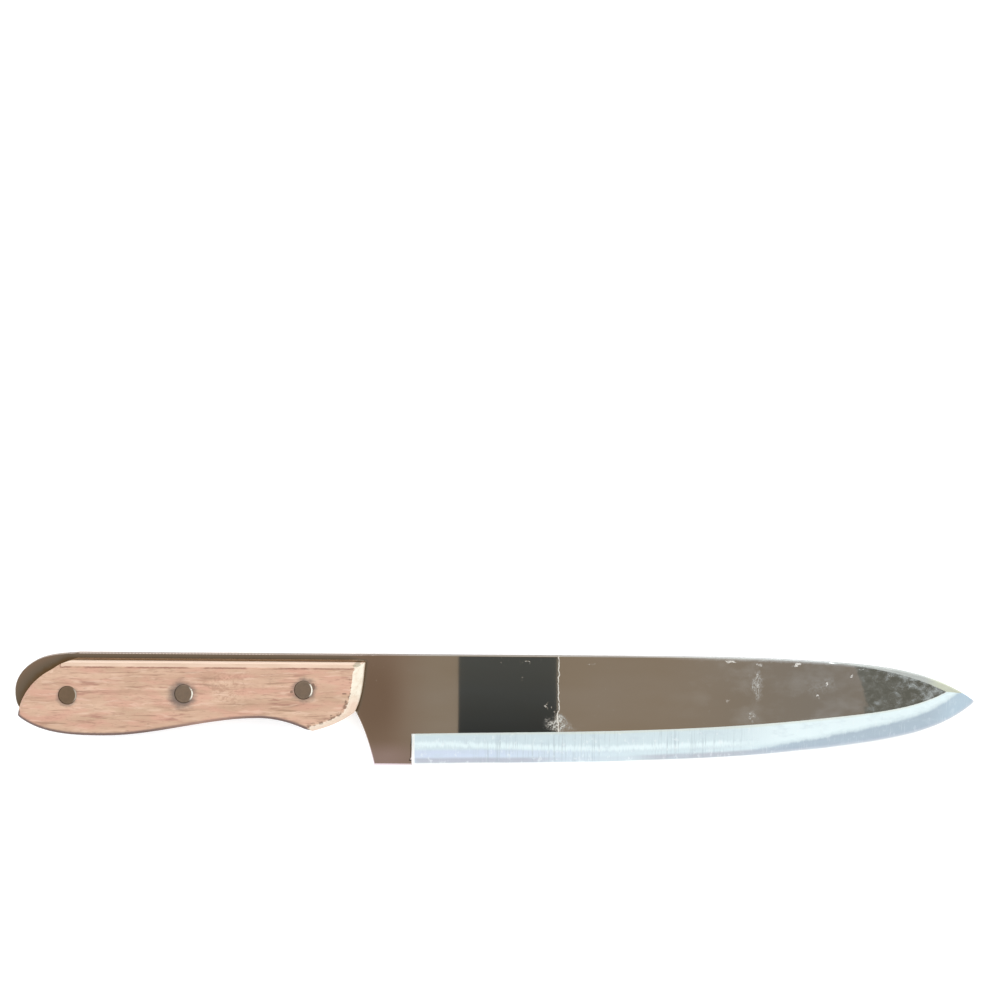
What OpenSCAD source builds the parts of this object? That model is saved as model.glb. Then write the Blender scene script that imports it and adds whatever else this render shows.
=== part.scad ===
// Full-tang carving knife, lying on its side: +X runs from the butt to the point, +Y from the
// edge up to the spine, and +Z through the thickness, from the back scale to the front scale.

/* [Blade] */
// Length of the blade, from the front of the scales to the point
blade_length = 220; // [190:0.5:250]
// Height of the blade, from the spine down to the heel corner
heel_height = 39.8; // [36:0.2:46]
// Thickness of the steel, in the blade and the tang alike
steel_thickness = 1.6; // [1.2:0.1:2.6]
// How far the heel corner stands ahead of the scales
heel_reach = 3.4; // [2:0.2:6]
// Drop of the point below the spine
point_drop = 15.5; // [12:0.1:18]
// Distance from the point back to where the spine starts to fall
spine_fall = 117; // [85:0.5:125]
// Distance from the point back to where the spine turns down to it
spine_turn = 48; // [45:0.2:65]
// Drop of the spine at that turn
spine_turn_drop = 1.9; // [0.8:0.1:2.4]
// Distance from the point back to where the belly of the edge begins
belly_length = 52.8; // [45:0.2:70]
// Height of the edge above the heel corner where the belly begins
belly_rise = 7.2; // [5:0.1:9]

/* [Grinding] */
// Length of full-thickness steel between the heel corner and the ground edge
ricasso_length = 13.6; // [8:0.2:20]
// How far grinding has lifted the edge above the heel corner
edge_lift = 0.2; // [0.1:0.1:1]
// Length of the slope in which the grinding reaches its depth
plunge_run = 0.7; // [0.4:0.1:3]
// Width of the ground face, square to the edge
grind_width = 11.1; // [8:0.1:14]
// Width of the ground face at the point
grind_width_point = 8.9; // [7:0.1:11]
// Width of the cutting bevel along the edge
cutting_bevel = 2.8; // [1.5:0.1:4]
// Thickness left at the top of the cutting bevel
shoulder_thickness = 0.62; // [0.4:0.02:0.9]
// Thickness left at the edge itself
edge_thickness = 0.16; // [0.1:0.02:0.3]
// Length of the bevel that lightens the spine behind the point
swage_length = 54; // [30:1:70]
// Width of that bevel where it is widest
swage_width = 2.4; // [1:0.1:4]
// Depth of that bevel on each side
swage_depth = 0.3; // [0.1:0.05:0.4]

/* [Handle] */
// Length of the scales along the spine, to their lower rear corner
scale_length = 122.4; // [110:0.2:140]
// Thickness of each scale
scale_thickness = 7.5; // [6:0.1:10]
// Height of tang that shows above the scales
tang_reveal_top = 2.85; // [0:0.05:4]
// Length of tang that shows behind the scales
tang_reveal_butt = 3.6; // [1:0.1:6]
// How far the tang lies inside the underside of the scales
tang_inset = 0.2; // [0:0.05:1]
// Distance from the butt forward to where the top of the tang begins to slope
tang_slope_start = 22.8; // [18:0.2:28]
// Distance from the butt forward to the knee of that slope
tang_knee = 7.4; // [6:0.1:11]
// Depth of the knee below the spine
tang_knee_drop = 3; // [2:0.1:4]
// Depth of the rearmost place of the tang below the spine
tang_rear_drop = 13.8; // [11:0.2:16]
// Distance from the rear of the scales to where their top begins to slope
scale_slope_start = 17; // [14:0.2:22]
// Distance from the rear of the scales to the knee of that slope
scale_knee = 11.2; // [8:0.2:13]
// Depth of that knee below the top of the scales
scale_knee_drop = 2.9; // [2.4:0.1:5]
// Depth of the rear corner of the scales below the spine
butt_corner_drop = 21.6; // [20:0.2:24]
// Distance from the rear of the scales to the deepest point of the palm swell
palm_from_butt = 30.6; // [26:0.2:36]
// Depth of the palm swell below the spine
palm_drop = 28.55; // [26:0.05:32]
// Distance from the front of the scales to the waist
waist_from_front = 36.8; // [32:0.2:44]
// Depth of the waist below the spine
waist_drop = 22; // [20:0.1:24]
// Distance from the front of the scales to the corner of the finger lobe
lobe_from_front = 18.1; // [15:0.1:22]
// Depth of the finger lobe below the spine
lobe_drop = 26.8; // [25:0.1:30]
// Distance from the front of the scales at the spine to their lower front corner
throat_from_front = 3.5; // [2:0.1:6]
// Depth of that lower front corner below the spine
throat_drop = 20.4; // [18:0.1:22]

/* [Scale edges] */
// Width of the bevel along the top and round the butt
top_bevel = 1.25; // [0.6:0.05:2.5]
// Depth of that bevel
top_bevel_depth = 1.5; // [0.6:0.1:3]
// Width of the bevel at the front
front_bevel = 3.2; // [1.5:0.1:5]
// Depth of the front bevel
front_bevel_depth = 4.5; // [2:0.1:5.5]
// Width of the bevel on the front of the finger lobe
lobe_bevel = 2.2; // [1:0.1:3]
// Width and depth of the eased edge along the underside
underside_bevel = 0.9; // [0.4:0.1:2]

/* [Rivets] */
// Distance from the rear of the scales to the rear rivet
rear_rivet_from_butt = 18.1; // [14:0.1:22]
// Distance from the front of the scales to the middle rivet
middle_rivet_from_front = 63.2; // [50:0.2:75]
// Distance from the front of the scales to the front rivet
front_rivet_from_front = 20.9; // [17:0.1:26]
// Depth of the rear rivet below the spine
rear_rivet_drop = 14.2; // [12:0.1:18]
// Depth of the middle rivet below the spine
middle_rivet_drop = 13.4; // [11:0.1:16]
// Depth of the front rivet below the spine
front_rivet_drop = 11.8; // [10:0.1:15]
// Diameter of the rivet heads
head_diameter = 6.6; // [5.5:0.1:9]
// Thickness of the rivet heads
head_thickness = 1.2; // [0.8:0.1:2]
// How far the heads lie below the face of the scales
head_sink = 0.1; // [0:0.05:0.4]
// Outer diameter of the hollow rivet halves
barrel_diameter = 4.6; // [4:0.1:5.2]
// Diameter of the solid rivet halves
pin_diameter = 3; // [2:0.1:3.4]
// Gap between the end of the hollow half and the other head
barrel_gap = 1; // [0.4:0.1:2]
// How far the solid half stops short of the hollow half's head
pin_gap = 2; // [0.5:0.1:5]
// Clearance all round a rivet in the wood and steel
hole_clearance = 0.1; // [0.05:0.05:0.3]
// Clearance all round the solid half inside the hollow half
pin_clearance = 0.02; // [0.01:0.01:0.05]

/* [Hidden] */

$fn = 64;
// Straight steps in one curved stretch of an outline
curve_steps = 14;
// Steps along each half of the ground face
grind_steps = 20;
// How far a cutting shape reaches past what it cuts
overcut = 2;
// How far the plane of a ground face is carried on above the flat
skim = 0.1;
// Power with which the ground face narrows towards the point
narrowing = 8;
// Distance behind the point at which the swage has its full width
swage_full = 12;
// Least distance between two places that count as two
tiny = 0.001;

handle_length = scale_length + tang_reveal_butt;
overall_length = blade_length + handle_length;
handle_thickness = 2 * scale_thickness + steel_thickness;
steel_middle = scale_thickness + steel_thickness / 2;
half_steel = steel_thickness / 2;

// Outlines are drawn with x = 0 at the front of the scales and y = 0 at the spine.
// A knot of an outline is [x, y, heading in degrees].
palm_x = palm_from_butt - scale_length;
grind_start = heel_reach + ricasso_length;
lobe_bevel_depth = lobe_bevel * front_bevel_depth / front_bevel;

spine_knots = [
    [blade_length - spine_fall, 0, 0],
    [blade_length - spine_turn, -spine_turn_drop, -4],
    [blade_length, -point_drop, -37]
];
edge_knots = [
    [grind_start + plunge_run, edge_lift - heel_height, 1.5],
    [blade_length - belly_length, belly_rise - heel_height, 7.2],
    [blade_length, -point_drop, 42]
];
heel_knots = [
    [-throat_from_front, -throat_drop, -60],
    [heel_reach, -heel_height, -77.5]
];
underside_knots = [
    [-scale_length, -butt_corner_drop, -39],
    [palm_x, -palm_drop, 0],
    [-waist_from_front, -waist_drop, 0],
    [-lobe_from_front, -lobe_drop, -26]
];
lobe_front_knots = [
    [-lobe_from_front, -lobe_drop, 12],
    [-throat_from_front, -throat_drop, 34]
];
front_knots = [
    [-throat_from_front, -throat_drop, 64],
    [0, -tang_reveal_top, 84]
];
// The butt of the scales: the end of the top edge, the slope behind it, and the rear corner
scale_butt_knots = [
    [scale_slope_start - scale_length, -tang_reveal_top, 184],
    [scale_knee - scale_length, -tang_reveal_top - scale_knee_drop, 208],
    [-scale_length, -butt_corner_drop, 263]
];
// The butt of the tang: the end of the spine, its sloping shoulder, its rearmost point, and the
// place where it meets the rear corner of the scales
tang_butt_knots = [
    [tang_slope_start - handle_length, 0, 185],
    [tang_knee - handle_length, -tang_knee_drop, 210],
    [-handle_length, -tang_rear_drop, 270],
    [-scale_length, tang_inset - butt_corner_drop, 344]
];

// One stretch between two knots, shaped as the arc that turns from one heading to the other
function stretch(a, b, steps) =
    let (
        chord = norm([b.x - a.x, b.y - a.y]),
        pull = chord / 3 / pow(cos((b.z - a.z) / 4), 2),
        p = [a.x, a.y],
        q = p + pull * [cos(a.z), sin(a.z)],
        s = [b.x, b.y],
        r = s - pull * [cos(b.z), sin(b.z)]
    )
    [for (i = [0:steps]) let (t = i / steps, u = 1 - t)
        u * u * u * p + 3 * u * u * t * q + 3 * u * t * t * r + t * t * t * s];

// The whole line through the knots, each shared place given once
function line(knots, steps) = concat(
    [for (k = [0:len(knots) - 2]) each [
        for (i = [0:steps - 1]) stretch(knots[k], knots[k + 1], steps)[i]
    ]],
    [[knots[len(knots) - 1].x, knots[len(knots) - 1].y]]
);

// An outline without the places that two of its lines share
function outline(points) =
    let (n = len(points))
    [for (i = [0:n - 1]) if (norm(points[i] - points[(i + 1) % n]) > tiny) points[i]];

function reversed(points) = [for (i = [len(points) - 1:-1:0]) points[i]];
function raised(points, height) = [for (p = points) p + [0, height]];

spine_line = line(spine_knots, curve_steps);
edge_line = line(edge_knots, grind_steps);
underside_line = line(underside_knots, curve_steps);
lobe_front_line = line(lobe_front_knots, curve_steps);
front_line = line(front_knots, curve_steps);
top_and_butt_line = concat([[0, -tang_reveal_top]], line(scale_butt_knots, curve_steps));
tang_butt_line = line(tang_butt_knots, curve_steps);

// Outline of the steel, from the end of the spine over the point and back along the edge
steel_outline = outline(concat(
    spine_line,
    reversed(edge_line),
    [[grind_start, -heel_height]],
    reversed(line(heel_knots, curve_steps)),
    reversed(raised(lobe_front_line, tang_inset)),
    reversed(raised(underside_line, tang_inset)),
    reversed(tang_butt_line)
));
scale_outline = outline(concat(underside_line, lobe_front_line, front_line, top_and_butt_line));

// Unit vector that points to the left of a line at one of its points
function left_of(points, i) =
    let (
        back = points[max(i - 1, 0)],
        ahead = points[min(i + 1, len(points) - 1)],
        way = (ahead - back) / norm(ahead - back)
    )
    [-way.y, way.x];

// A line made longer at both ends
function lengthened(points, by) =
    let (
        n = len(points) - 1,
        start = points[0] - points[1],
        end = points[n] - points[n - 1]
    )
    concat(
        [points[0] + by * start / norm(start)],
        points,
        [points[n] + by * end / norm(end)]
    );

// A cross-section that stands on a line: how far each place lies inwards, and how high
function section(p, inward, places, heights) =
    [for (k = [0:len(places) - 1])
        [p.x + places[k] * inward.x, p.y + places[k] * inward.y, heights[k]]];

// A closed skin over rings of points. The first point of a ring sees all the others.
module skin(rings) {
    n = len(rings[0]);
    sides = [for (k = [0:len(rings) - 2], i = [0:n - 1])
        let (j = (i + 1) % n, a = k * n, b = a + n)
        each [[a + i, a + j, b + j], [a + i, b + j, b + i]]];
    first = [for (i = [1:n - 2]) [0, i + 1, i]];
    end = (len(rings) - 1) * n;
    far = [for (i = [1:n - 2]) [end, end + i, end + i + 1]];
    polyhedron(points = [for (r = rings) each r], faces = concat(sides, first, far));
}

// What is cut away to bevel an edge that has the body on its left, below z = 0
module edge_cutter(points, widths, slope) {
    skin([for (i = [0:len(points) - 1])
        let (
            inward = left_of(points, i),
            drop = widths[i] * slope,
            inner = (skim + drop) / slope,
            places = [-overcut, inner, inner, -overcut],
            heights = [overcut, overcut, skim, -drop - overcut * slope]
        )
        section(points[i], inward, places, heights)
    ]);
}

// The same for a bevel of one width and depth, carried past both ends of the edge
module even_edge_cutter(points, width, depth) {
    path = lengthened(points, overcut);
    edge_cutter(path, [for (p = path) width], depth / width);
}

// What grinding takes from one side of the blade, above the middle of the steel
module grind_cutter() {
    path = lengthened(edge_line, plunge_run);
    top = half_steel + overcut;
    skin([for (i = [0:len(path) - 1])
        let (
            way = max(0, path[i].x - grind_start) / (blade_length - grind_start),
            share = min(1, pow(way, narrowing)),
            width = grind_width + (grind_width_point - grind_width) * share,
            fall = (half_steel - shoulder_thickness / 2) / (width - cutting_bevel),
            flat = width + skim / fall,
            least = i == 0 ? half_steel + skim : 0,
            shoulder = max(shoulder_thickness / 2, least),
            edge = max(edge_thickness / 2, least),
            places = [-overcut, flat, flat, cutting_bevel, 0, -overcut],
            heights = [top, top, half_steel + skim, shoulder, edge, edge]
        )
        section(path[i], left_of(path, i), places, heights)
    ]);
}

// What the swage takes from one side of the spine
module swage_cutter() {
    path = [for (p = spine_line) if (p.x > blade_length - swage_length - overcut) p];
    back = reversed(lengthened(path, overcut));
    widths = [for (p = back)
        let (share = (p.x - blade_length + swage_length) / (swage_length - swage_full))
        swage_width * min(1, share)];
    translate([0, 0, half_steel])
        edge_cutter(back, widths, swage_depth / swage_width);
}

rivet_places = [
    [rear_rivet_from_butt - scale_length, -rear_rivet_drop],
    [-middle_rivet_from_front, -middle_rivet_drop],
    [-front_rivet_from_front, -front_rivet_drop]
];

module at_each_rivet() {
    for (place = rivet_places)
        translate(place) children();
}

// Moves an outline's own origin to where the middle of the whole knife is the origin
module in_frame(height) {
    translate([handle_length - overall_length / 2, heel_height / 2, height]) children();
}

module blade() {
    color("#8d8474")
        in_frame(steel_middle)
            difference() {
                translate([0, 0, -half_steel])
                    linear_extrude(steel_thickness) polygon(steel_outline);
                for (side = [0, 1])
                    mirror([0, 0, side]) {
                        grind_cutter();
                        swage_cutter();
                    }
                at_each_rivet()
                    cylinder(
                        h = steel_thickness + overcut,
                        d = barrel_diameter + 2 * hole_clearance,
                        center = true
                    );
            }
}

// One scale with its flat on z = 0 and its face upwards
module scale_body() {
    difference() {
        linear_extrude(scale_thickness) polygon(scale_outline);
        translate([0, 0, scale_thickness]) {
            even_edge_cutter(top_and_butt_line, top_bevel, top_bevel_depth);
            even_edge_cutter(front_line, front_bevel, front_bevel_depth);
            even_edge_cutter(lobe_front_line, lobe_bevel, lobe_bevel_depth);
            even_edge_cutter(underside_line, underside_bevel, underside_bevel);
        }
        at_each_rivet() {
            translate([0, 0, -overcut])
                cylinder(
                    h = scale_thickness + 2 * overcut,
                    d = barrel_diameter + 2 * hole_clearance
                );
            translate([0, 0, scale_thickness - head_sink - head_thickness])
                cylinder(
                    h = head_thickness + overcut,
                    d = head_diameter + 2 * hole_clearance
                );
        }
    }
}

module front_scale() {
    color("#c9a58a")
        in_frame(scale_thickness + steel_thickness) scale_body();
}

module back_scale() {
    color("#c9a58a")
        in_frame(scale_thickness) mirror([0, 0, 1]) scale_body();
}

// Hollow half of a rivet, with its head in the front scale
module rivet_barrel(place) {
    head_top = handle_thickness - head_sink;
    barrel_end = head_sink + head_thickness + barrel_gap;
    bore_end = head_top - head_thickness;
    color("#70675a")
        in_frame(0)
            translate(place)
                difference() {
                    union() {
                        translate([0, 0, head_top - head_thickness])
                            cylinder(h = head_thickness, d = head_diameter);
                        translate([0, 0, barrel_end])
                            cylinder(h = head_top - head_thickness - barrel_end, d = barrel_diameter);
                    }
                    translate([0, 0, barrel_end - overcut])
                        cylinder(
                            h = bore_end - barrel_end + overcut,
                            d = pin_diameter + 2 * pin_clearance
                        );
                }
}

// Solid half of a rivet, with its head in the back scale
module rivet_pin(place) {
    shank_start = head_sink + head_thickness;
    shank_end = handle_thickness - head_sink - head_thickness - pin_gap;
    color("#70675a")
        in_frame(0)
            translate(place) {
                translate([0, 0, head_sink])
                    cylinder(h = head_thickness, d = head_diameter);
                translate([0, 0, shank_start])
                    cylinder(h = shank_end - shank_start, d = pin_diameter);
            }
}

blade();
front_scale();
back_scale();
rivet_barrel(rivet_places[0]);  // rivet_barrel_1
rivet_barrel(rivet_places[1]);  // rivet_barrel_2
rivet_barrel(rivet_places[2]);  // rivet_barrel_3
rivet_pin(rivet_places[0]);  // rivet_pin_1
rivet_pin(rivet_places[1]);  // rivet_pin_2
rivet_pin(rivet_places[2]);  // rivet_pin_3
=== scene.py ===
"""Looks for the carving knife: polished and ground steel, dry pale wood and dull rivet heads.

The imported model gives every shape. Each visible piece is drawn again here from it, with finer
faces and softened edges, and gets its finish from nodes.
"""
import math
from functools import cached_property, partial, reduce

import bmesh
import bpy
import numpy as np
from bpy.props import FloatProperty, FloatVectorProperty, IntProperty, PointerProperty
from mathutils import Matrix, Vector
from mathutils.bvhtree import BVHTree
from mathutils.geometry import delaunay_2d_cdt


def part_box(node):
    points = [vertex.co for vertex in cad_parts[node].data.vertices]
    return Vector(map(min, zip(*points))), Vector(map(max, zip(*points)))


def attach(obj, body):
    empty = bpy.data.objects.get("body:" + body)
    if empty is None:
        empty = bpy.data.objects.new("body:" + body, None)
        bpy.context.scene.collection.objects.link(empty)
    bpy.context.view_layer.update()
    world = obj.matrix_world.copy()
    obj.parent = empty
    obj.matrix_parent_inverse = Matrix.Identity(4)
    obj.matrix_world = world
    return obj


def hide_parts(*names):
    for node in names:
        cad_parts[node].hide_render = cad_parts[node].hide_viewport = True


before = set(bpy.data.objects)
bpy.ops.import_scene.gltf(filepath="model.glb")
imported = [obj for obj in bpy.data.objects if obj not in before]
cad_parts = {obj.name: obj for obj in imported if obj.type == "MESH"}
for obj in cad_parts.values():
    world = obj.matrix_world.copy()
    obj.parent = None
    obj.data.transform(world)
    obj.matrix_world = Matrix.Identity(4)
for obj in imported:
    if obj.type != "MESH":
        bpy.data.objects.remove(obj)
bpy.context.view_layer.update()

bl_info = {
    "name": "Carving Knife Looks",
    "version": (1, 0, 0),
    "blender": (4, 5, 0),
    "location": "View3D > Sidebar > Knife",
    "description": "Draws the blade, scales and rivets of a carving knife around its model",
    "category": "Object",
}

# Millimetre, in Blender's metres
MM = 0.001
BODY = "root"
BARRELS = ("rivet_barrel_1", "rivet_barrel_2", "rivet_barrel_3")
PINS = ("rivet_pin_1", "rivet_pin_2", "rivet_pin_3")


def shade(red, green, blue):
    """A colour as read from a picture, 0 to 255, in the linear values that Blender works in."""
    levels = [value / 255 for value in (red, green, blue)]
    return tuple(v / 12.92 if v <= 0.04045 else ((v + 0.055) / 1.055) ** 2.4 for v in levels)


def opaque(colour):
    """A colour with the fourth value that sockets ask for."""
    return (*tuple(colour)[:3], 1.0)


def centre_of(node):
    low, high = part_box(node)
    return (low + high) / 2


RIVET_CENTRES = [centre_of(node) for node in BARRELS]
HEAD_RADIUS = (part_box(BARRELS[0])[1].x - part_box(BARRELS[0])[0].x) / 2
STEEL_LOW, STEEL_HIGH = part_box("blade")
STEEL_MIDDLE = (STEEL_LOW.z + STEEL_HIGH.z) / 2
SCALE_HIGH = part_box("front_scale")[1]
BUTT = STEEL_LOW.x
POINT = STEEL_HIGH.x


# Properties that hold a length or a colour
length_value = partial(FloatProperty, unit="LENGTH", precision=5)
colour_value = partial(FloatVectorProperty, subtype="COLOR", size=3, min=0, max=1)


class KnifeSizes(bpy.types.PropertyGroup):
    """Sizes of the fine shapes that the model leaves out."""

    steel_edge: length_value(
        name="Steel edge", description="Rounding of the steel's edges",
        default=0.1 * MM, min=0.02 * MM, max=0.5 * MM)
    wood_edge: length_value(
        name="Wood edge", description="Rounding of the scales' edges",
        default=0.3 * MM, min=0.05 * MM, max=1 * MM)
    wood_wear: length_value(
        name="Wood wear", description="Reach over which the ridges of the scales are worn soft",
        default=0.28 * MM, min=0.05 * MM, max=1 * MM)
    ground_width: length_value(
        name="Ground width", description="Width of the ground face at the heel",
        default=11.1 * MM, min=5 * MM, max=20 * MM)
    ground_width_point: length_value(
        name="Ground width at point", description="Width of the ground face at the point",
        default=8.9 * MM, min=5 * MM, max=20 * MM)
    hole_clearance: length_value(
        name="Hole clearance", description="Gap round a rivet head",
        default=0.03 * MM, min=0.02 * MM, max=0.4 * MM)
    head_thickness: length_value(
        name="Head thickness", description="Thickness of a rivet head",
        default=1.2 * MM, min=0.5 * MM, max=2 * MM)
    head_dome: length_value(
        name="Head dome", description="How far the middle of a rivet head stands above its rim",
        default=0.05 * MM, min=0, max=0.1 * MM)
    head_sides: IntProperty(
        name="Head sides", description="Faces round a rivet head", default=64, min=16, max=128)
    barrel_radius: length_value(
        name="Barrel radius", description="Radius of the shank of a hollow rivet half",
        default=2.3 * MM, min=2 * MM, max=2.6 * MM)
    pin_radius: length_value(
        name="Pin radius", description="Radius of the shank of a solid rivet half",
        default=1.5 * MM, min=1 * MM, max=1.7 * MM)


class KnifeFinishes(bpy.types.PropertyGroup):
    """Colours of the knife's materials."""

    steel: colour_value(
        name="Steel", description="Polished steel", default=(0.60, 0.585, 0.56))
    # Stain on the steel beside the wood, with painted shade there
    stain_and_shade: colour_value(
        name="Tarnish", description="Stained steel beside the wood", default=shade(148, 134, 116))
    ground: colour_value(
        name="Ground steel", description="Satin steel of the ground face",
        default=shade(213, 230, 236))
    # Painted highlight: the bright band that the ground face's curve would mirror
    ground_highlight: colour_value(
        name="Ground streak", description="Bright line along the ground face",
        default=shade(234, 250, 254))
    ground_dull: colour_value(
        name="Whetted steel", description="Duller steel towards the edge",
        default=shade(181, 185, 195))
    wood: colour_value(
        name="Wood", description="Main colour of the scales", default=shade(182, 146, 122))
    wood_pale: colour_value(
        name="Pale wood", description="Sanded upper edges of the scales",
        default=shade(198, 171, 149))
    wood_dark: colour_value(
        name="Dark wood", description="Pores of the wood", default=shade(118, 84, 62))
    end_grain: colour_value(
        name="End grain", description="Cut wood at the front of the scales",
        default=shade(229, 221, 204))
    stain: colour_value(
        name="Stain", description="Wood darkened by the rivets", default=shade(98, 85, 76))
    # Painted shade along the underside, on walls that face down and in the rivet holes
    grime: colour_value(
        name="Grime", description="Dirt along the underside of the handle",
        default=shade(102, 80, 73))
    rivet: colour_value(
        name="Rivet", description="Dull rivet heads", default=shade(130, 113, 97))


class KnifeStage(bpy.types.PropertyGroup):
    """Camera, floor and lights."""

    camera_height: length_value(
        name="Camera height", description="Distance from the blade's face to the camera",
        default=0.4, min=0.2, max=2)
    camera_across: length_value(
        name="Camera across", description="The camera's place along the knife",
        default=1.05 * MM, min=-0.2, max=0.2)
    camera_up: length_value(
        name="Camera up", description="The camera's place on the spine's side",
        default=75.8 * MM, min=-0.2, max=0.2)
    camera_roll: FloatProperty(
        name="Camera roll", description="Turn of the camera about its own axis",
        default=math.radians(0.43), min=-0.2, max=0.2, subtype="ANGLE")
    lens: FloatProperty(name="Lens", description="Focal length in mm", default=40, min=15, max=100)
    floor: colour_value(
        name="Floor", description="Colour of the floor", default=(0.93, 0.93, 0.93))
    room: colour_value(
        name="Room", description="What the polished steel mirrors", default=shade(170, 155, 138))
    bright: FloatProperty(
        name="Bright card", description="Strength of the card that the ground face mirrors",
        default=1.28, min=0, max=5)
    floor_glow: FloatProperty(
        name="Floor glow", description="Light from the floor itself, which thins the shadows",
        default=0.22, min=0, max=2)
    sky: FloatProperty(
        name="Sky", description="Strength of the light all round", default=1.2, min=0, max=5)
    key: FloatProperty(
        name="Key", description="Power of the large lamp", default=3.0, min=0, max=50)


def sizes():
    return bpy.context.scene.knife_sizes


def colours():
    return bpy.context.scene.knife_finishes


def stage():
    return bpy.context.scene.knife_stage


class Wire:
    """An output of a node that takes part in Python sums."""

    def __init__(self, nodes, socket):
        self.nodes = nodes
        self.socket = socket

    def sum(self, operation, *values):
        return self.nodes.node("ShaderNodeMath", {"operation": operation}, values)

    def __add__(self, other):
        return self.sum("ADD", self, other)

    def __sub__(self, other):
        return self.sum("SUBTRACT", self, other)

    def __rsub__(self, other):
        return self.sum("SUBTRACT", other, self)

    def __mul__(self, other):
        return self.sum("MULTIPLY", self, other)

    def __truediv__(self, other):
        return self.sum("DIVIDE", self, other)

    def __pow__(self, other):
        return self.sum("POWER", self, other)

    def __abs__(self):
        return self.sum("ABSOLUTE", self)

    def most(self, other):
        return self.sum("MAXIMUM", self, other)

    def least(self, other):
        return self.sum("MINIMUM", self, other)

    def above(self, other):
        return self.sum("GREATER_THAN", self, other)

    __radd__ = __add__
    __rmul__ = __mul__


def strongest(masks):
    """The greatest of several masks at each place."""
    return reduce(Wire.most, masks)


class Nodes:
    """A node tree under construction."""

    def __init__(self, tree):
        self.tree = tree

    def feed(self, socket, value):
        """Links a socket to a wire, or sets it to a value."""
        if isinstance(value, Wire):
            self.tree.links.new(value.socket, socket)
        else:
            socket.default_value = value

    def node(self, kind, settings=None, inputs=(), output=0):
        """An output of a new node, if it has one. Its settings are made before its inputs."""
        made = self.tree.nodes.new(kind)
        for name, value in (settings or {}).items():
            setattr(made, name, value)
        pairs = inputs.items() if isinstance(inputs, dict) else enumerate(inputs)
        for key, value in pairs:
            self.feed(made.inputs[key], value)
        return Wire(self, made.outputs[output]) if len(made.outputs) else None

    def outputs(self, wire):
        """All the outputs of the node that a wire comes from."""
        return [Wire(self, socket) for socket in wire.socket.node.outputs]

    def vector(self, operation, *values, output=0):
        return self.node("ShaderNodeVectorMath", {"operation": operation}, values, output)


class Finish(Nodes):
    """A material under construction. Its places are Object coordinates, in metres."""

    def __init__(self, name, metallic=0.0, ior=1.5):
        self.material = bpy.data.materials.new(name)
        self.material.use_nodes = True
        super().__init__(self.material.node_tree)
        self.surface = self.tree.nodes["Principled BSDF"]
        self.surface.inputs["Metallic"].default_value = metallic
        self.surface.inputs["IOR"].default_value = ior

    @cached_property
    def place(self):
        return self.node("ShaderNodeTexCoord", output="Object")

    @cached_property
    def axes(self):
        """The x, y and z of the place."""
        return self.outputs(self.node("ShaderNodeSeparateXYZ", None, (self.place,)))

    def attribute(self, name):
        return self.node("ShaderNodeAttribute", {"attribute_name": name}, output="Fac")

    def mapped(self, at, stretch, shift=(0, 0, 0)):
        """The place, or another given as at, stretched and then shifted."""
        return self.node("ShaderNodeMapping", None,
                         {"Vector": at or self.place, "Location": shift, "Scale": stretch})

    def noise(self, stretch, detail=3.0, roughness=0.5, distortion=0.0, shift=(0, 0, 0), at=None,
              output=0):
        """Noise with so many lumps to the metre along each axis."""
        return self.node("ShaderNodeTexNoise", {"noise_dimensions": "3D"},
                         {"Vector": self.mapped(at, stretch, shift), "Scale": 1.0,
                          "Detail": detail, "Roughness": roughness, "Distortion": distortion},
                         output)

    def step(self, value, start, end):
        """A soft step from 0 to 1 as value goes from start to end."""
        return self.node("ShaderNodeMapRange", {"interpolation_type": "SMOOTHSTEP"},
                         {"Value": value, "From Min": start, "From Max": end})

    def mottled(self, start, end, *texture, **more):
        """Noise that steps from 0 to 1 between two levels: patches, streaks or dots."""
        return self.step(self.noise(*texture, **more), start, end)

    def frayed(self, lumps, reach):
        """Places moved about by up to half of reach, which gives patches ragged borders."""
        wobble = self.noise(lumps, 4.0, 0.6, output="Color")
        moved = self.vector("MULTIPLY_ADD", wobble, (reach,) * 3, (-reach / 2,) * 3)
        return self.vector("ADD", self.place, moved)

    def mix(self, share, first, second):
        """A colour between two."""
        pair = [c if isinstance(c, Wire) else opaque(c) for c in (first, second)]
        return self.node("ShaderNodeMix", {"data_type": "RGBA"},
                         {0: share, 6: pair[0], 7: pair[1]}, output=2)

    def layers(self, colour, *coats):
        """A colour under coats, each given as its share and its colour, the lowest first."""
        for share, coat in coats:
            colour = self.mix(share, colour, coat)
        return colour

    def distance(self, point):
        return self.vector("DISTANCE", self.place, tuple(point), output="Value")

    def spot(self, centre, reach, at=None):
        """1 in the middle of an upright oval patch, falling to 0 at its rim."""
        scale = [1 / r for r in reach] + [0]
        shift = [-c * k for c, k in zip((*centre, 0), scale)]
        away = self.vector("LENGTH", self.mapped(at, scale, shift), output="Value")
        return self.step(away, 1.0, 0.2)

    def patches(self, table, at=None):
        """Oval patches given in millimetres, each falling from its strength to 0 at its rim."""
        return strongest(
            self.spot((across * MM, up * MM), (length * MM, height * MM), at) * strength
            for across, up, length, height, strength in table)

    def bump(self, height, distance, strength, over=None):
        """A facing bent by a height, on top of another facing if one is given."""
        inputs = {"Height": height, "Distance": distance, "Strength": strength}
        if over is not None:
            inputs["Normal"] = over
        return self.node("ShaderNodeBump", None, inputs)

    def set(self, **values):
        """Feeds the surface's own sockets, with spaces in place of underscores."""
        for name, value in values.items():
            self.feed(self.surface.inputs[name.replace("_", " ")], value)
        return self.material


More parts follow.
